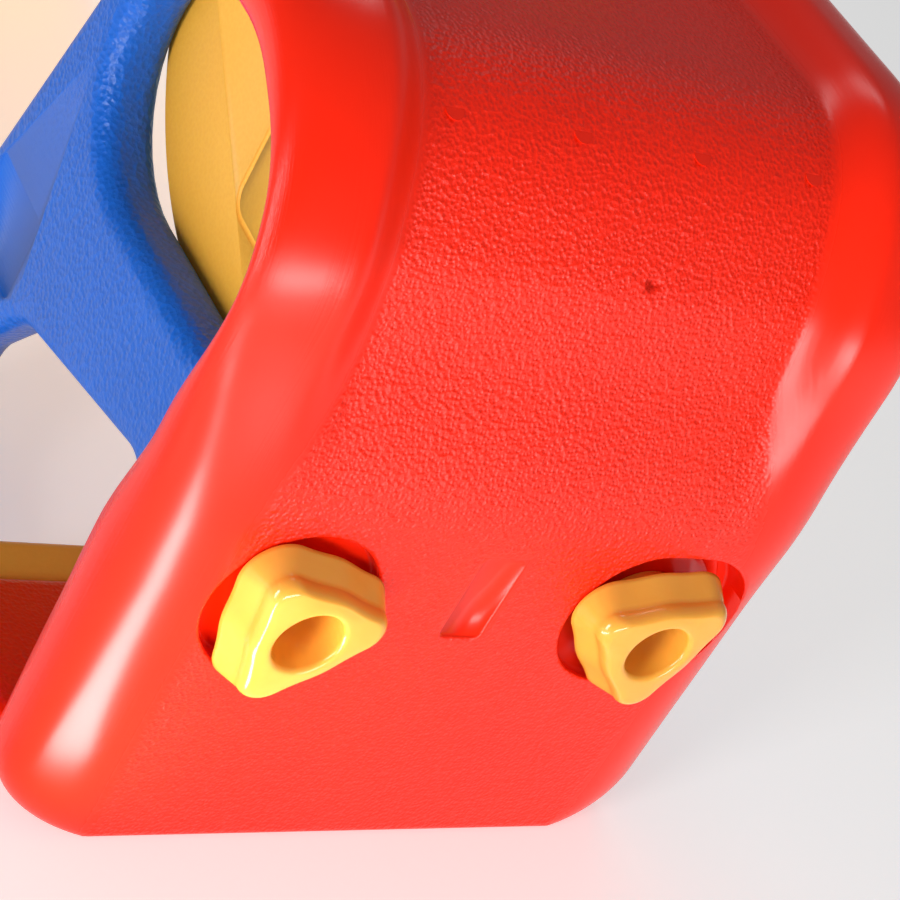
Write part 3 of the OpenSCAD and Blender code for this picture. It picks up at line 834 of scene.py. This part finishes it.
def tree_inputs(tree, sizes):
    tree.interface.new_socket("Geometry", in_out="OUTPUT", socket_type="NodeSocketGeometry")
    for name, value in sizes.items():
        kind = "NodeSocketInt" if isinstance(value, int) else "NodeSocketFloat"
        tree.interface.new_socket(name, in_out="INPUT", socket_type=kind).default_value = value
    return tree.nodes.new("NodeGroupInput"), tree.nodes.new("NodeGroupOutput")


def grown(name, tree, finish, sizes):
    # Runs a node tree with the given sizes and keeps the result as a plain mesh.
    piece = solid(name, [(0, 0, 0)], [], check=False)
    grower = piece.modifiers.new("grow", "NODES")
    grower.node_group = tree
    for item in tree.interface.items_tree:
        if item.item_type == "SOCKET" and item.in_out == "INPUT" and item.name in sizes:
            grower[item.identifier] = sizes[item.name]
    bake(piece)
    piece.data.materials.clear()
    piece.data.materials.append(finish)
    return piece


def beam_tree(finish):
    tree = bpy.data.node_groups.new("rounded_beam", "GeometryNodeTree")
    asked, out = tree_inputs(tree, {"Length": 0.5, "Depth": 0.06, "Height": 0.05, "Round": 0.012,
                                    "End ease": 0.12})
    section = add(tree, "GeometryNodeCurvePrimitiveQuadrilateral", Width=asked.outputs["Depth"],
                  Height=asked.outputs["Height"])
    soft = add(tree, "GeometryNodeFilletCurve", {"mode": "POLY", "Count": 6}, Curve=section.outputs[0],
               Radius=asked.outputs["Round"])
    half = add(tree, "ShaderNodeMath", {"operation": "MULTIPLY", 1: 0.5}, i0=asked.outputs["Length"])
    less = add(tree, "ShaderNodeMath", {"operation": "MULTIPLY", 1: -0.5}, i0=asked.outputs["Length"])
    start = add(tree, "ShaderNodeCombineXYZ", X=less.outputs[0])
    end = add(tree, "ShaderNodeCombineXYZ", X=half.outputs[0])
    line = add(tree, "GeometryNodeCurvePrimitiveLine", Start=start.outputs[0], End=end.outputs[0])
    fine = add(tree, "GeometryNodeResampleCurve", {"Count": 121}, Curve=line.outputs[0])
    along = add(tree, "GeometryNodeSplineParameter").outputs["Factor"]
    centred = add(tree, "ShaderNodeMath", {"operation": "MULTIPLY_ADD", 1: 2.0, 2: -1.0}, i0=along)
    far = add(tree, "ShaderNodeMath", {"operation": "ABSOLUTE"}, i0=centred.outputs[0])
    steep = add(tree, "ShaderNodeMath", {"operation": "POWER", 1: 48.0}, i0=far.outputs[0])
    drawn = add(tree, "ShaderNodeMath", {"operation": "MULTIPLY"}, i0=steep.outputs[0],
                i1=asked.outputs["End ease"])
    scale = add(tree, "ShaderNodeMath", {"operation": "SUBTRACT", 0: 1.0}, i1=drawn.outputs[0])
    sweep = add(tree, "GeometryNodeCurveToMesh", {"Fill Caps": True}, Curve=fine.outputs[0],
                i1=soft.outputs[0])
    if "Scale" in sweep.inputs:
        tree.links.new(scale.outputs[0], sweep.inputs["Scale"])
    else:
        radius = add(tree, "GeometryNodeSetCurveRadius", Curve=fine.outputs[0], Radius=scale.outputs[0])
        tree.links.new(radius.outputs[0], sweep.inputs[0])
    plain = add(tree, "GeometryNodeRealizeInstances", i0=sweep.outputs[0])
    dressed = add(tree, "GeometryNodeSetMaterial", {"Material": finish}, i0=plain.outputs[0])
    tree.links.new(dressed.outputs[0], out.inputs[0])
    return tree


def settle(piece, low, high):
    # Fits a centred mesh exactly between two corners, turning outward faces out.
    points = np.array([v.co for v in piece.data.vertices])
    have_low, have_high = points.min(axis=0), points.max(axis=0)
    fit = (points - have_low) / (have_high - have_low) * (np.array(high) - np.array(low)) + np.array(low)
    piece.data.vertices.foreach_set("co", fit.ravel())
    face_outwards(piece.data, weld=False)


for node, finish, slot_name in (("foot_beam", red_hdpe, "red_shell"),
                                ("rear_beam", yellow_hdpe, "yellow_shell")):
    low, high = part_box(node)
    if node == "foot_beam":
        low.y = FACE_Y + 67 * MM
    size = high - low
    beam = grown(node + "_skin", beam_tree(finish), finish,
                 {"Length": size.x, "Depth": size.y, "Height": size.z, "Round": 13 * MM, "End ease": 0.14})
    settle(beam, low, high)
    mark(beam, lambda p: (0.5, 0.3, p.y / (2 * MM), p.x / (90 * MM)))
    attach(beam, "root")
    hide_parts(node)
    print(node, len(beam.data.polygons), "faces")

# %% [markdown]
# ## Vent plug marks on the curl
# Air leaves a mould through small round plugs, and each leaves a faint ring on the
# moulding. A node tree sets one low disc on each point of a line along the curl.

# %% Node tree for the ring marks
MARK_COUNT, MARK_PITCH, MARK_R = 4, 97 * MM, 7 * MM
MARK_TURN = 57


def mark_tree(finish):
    tree = bpy.data.node_groups.new("vent_marks", "GeometryNodeTree")
    asked, out = tree_inputs(tree, {"Count": MARK_COUNT, "Pitch": MARK_PITCH, "Radius": MARK_R,
                                    "Proud": 0.4 * MM, "Lean": 0.5})
    step = add(tree, "ShaderNodeCombineXYZ", X=asked.outputs["Pitch"])
    row = add(tree, "GeometryNodeMeshLine", Count=asked.outputs["Count"], Offset=step.outputs[0])
    disc = add(tree, "GeometryNodeMeshCylinder", {"Vertices": 40}, Radius=asked.outputs["Radius"],
               Depth=asked.outputs["Proud"])
    tilt = add(tree, "ShaderNodeCombineXYZ", X=asked.outputs["Lean"])
    placed = add(tree, "GeometryNodeInstanceOnPoints", Points=row.outputs[0], Instance=disc.outputs[0],
                 Rotation=tilt.outputs[0])
    plain = add(tree, "GeometryNodeRealizeInstances", i0=placed.outputs[0])
    dressed = add(tree, "GeometryNodeSetMaterial", {"Material": finish}, i0=plain.outputs[0])
    tree.links.new(dressed.outputs[0], out.inputs[0])
    return tree


row_s = KNEE_Z + CURL_R * math.radians(MARK_TURN)
row_at, row_out = on_path(row_s)
row_drop = half_section(row_s)[0][1]
marks = grown("vent_mark_rings", mark_tree(red_hdpe), red_hdpe,
              {"Count": MARK_COUNT, "Pitch": MARK_PITCH, "Radius": MARK_R, "Proud": 0.6 * MM,
               "Lean": math.radians(90 - MARK_TURN)})
start = row_at - row_out * (row_drop + 0.1 * MM) + Vector((-1.5 * MARK_PITCH, 0, 0))
moved = [c for v in marks.data.vertices for c in v.co + start]
marks.data.vertices.foreach_set("co", moved)
mark(marks, lambda p: (0.0, 0.0, p.x / (2 * MM), p.z / (90 * MM)))
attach(marks, "root")
print("ring marks:", len(marks.data.polygons), "faces")

# %% [markdown]
# ## Plated fixings and tubes
# The bolts, nuts, washers and cross tubes keep their plain shapes, because they are
# already as simple as the real ones. They only get their bright zinc.

# %% Zinc on the steel nodes
for name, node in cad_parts.items():
    if name.endswith(("bolts", "nuts", "washers", "tube")):
        for place in node.material_slots:
            place.material = zinc
        print("zinc on", name)

# %% [markdown]
# ## Studio
# A pale floor and broad soft lights: a large one from the left, where the wall looks,
# one overhead that glows on the curl, and a pale room that fills the shadows.

# %% Floor, lights and room
floor = solid("floor", [(-6, -6, -0.0005), (6, -6, -0.0005), (6, 6, -0.0005), (-6, 6, -0.0005)],
              [(0, 1, 2, 3)], check=False)
paper = bpy.data.materials.new("studio_paper")
paper.use_nodes = True
paper.node_tree.nodes["Principled BSDF"].inputs["Base Color"].default_value = linear("#f4f4f4")
paper.node_tree.nodes["Principled BSDF"].inputs["Roughness"].default_value = 0.9
paper.node_tree.nodes["Principled BSDF"].inputs["Emission Color"].default_value = (1, 1, 1, 1)
paper.node_tree.nodes["Principled BSDF"].inputs["Emission Strength"].default_value = 0.42
floor.data.materials.append(paper)


def soft_light(name, place, target, width, height, watts):
    lamp = bpy.data.objects.new(name, bpy.data.lights.new(name, "AREA"))
    bpy.context.collection.objects.link(lamp)
    lamp.data.shape = "RECTANGLE"
    lamp.data.size = width
    lamp.data.size_y = height
    lamp.data.energy = watts
    lamp.location = place
    lamp.rotation_euler = (Vector(target) - Vector(place)).to_track_quat("-Z", "Y").to_euler()
    return lamp


target = (0, FACE_Y, 0.3)
soft_light("key_left", (-2.0, FACE_Y - 0.9, 0.45), target, 0.5, 1.4, 34)
soft_light("front_low", (0.2, FACE_Y - 2.4, 0.1), target, 1.6, 0.6, 46)
soft_light("overhead", (0.3, FACE_Y + 0.9, 2.4), (0, FACE_Y + 0.3, 0.5), 1.2, 0.3, 6)
strip = soft_light("floor_strip", (-0.35, FACE_Y - 0.38, 0.012), (-0.35, FACE_Y - 0.38, 1), 0.1, 0.66, 4.6)
strip.rotation_euler = (math.pi, 0, math.radians(-16.7))
strip.visible_camera = False
world = bpy.data.worlds.new("room")
bpy.context.scene.world = world
world.use_nodes = True
world.node_tree.nodes["Background"].inputs["Color"].default_value = (1, 1, 1, 1)
world.node_tree.nodes["Background"].inputs["Strength"].default_value = 0.24
bpy.context.scene.view_settings.view_transform = "Standard"
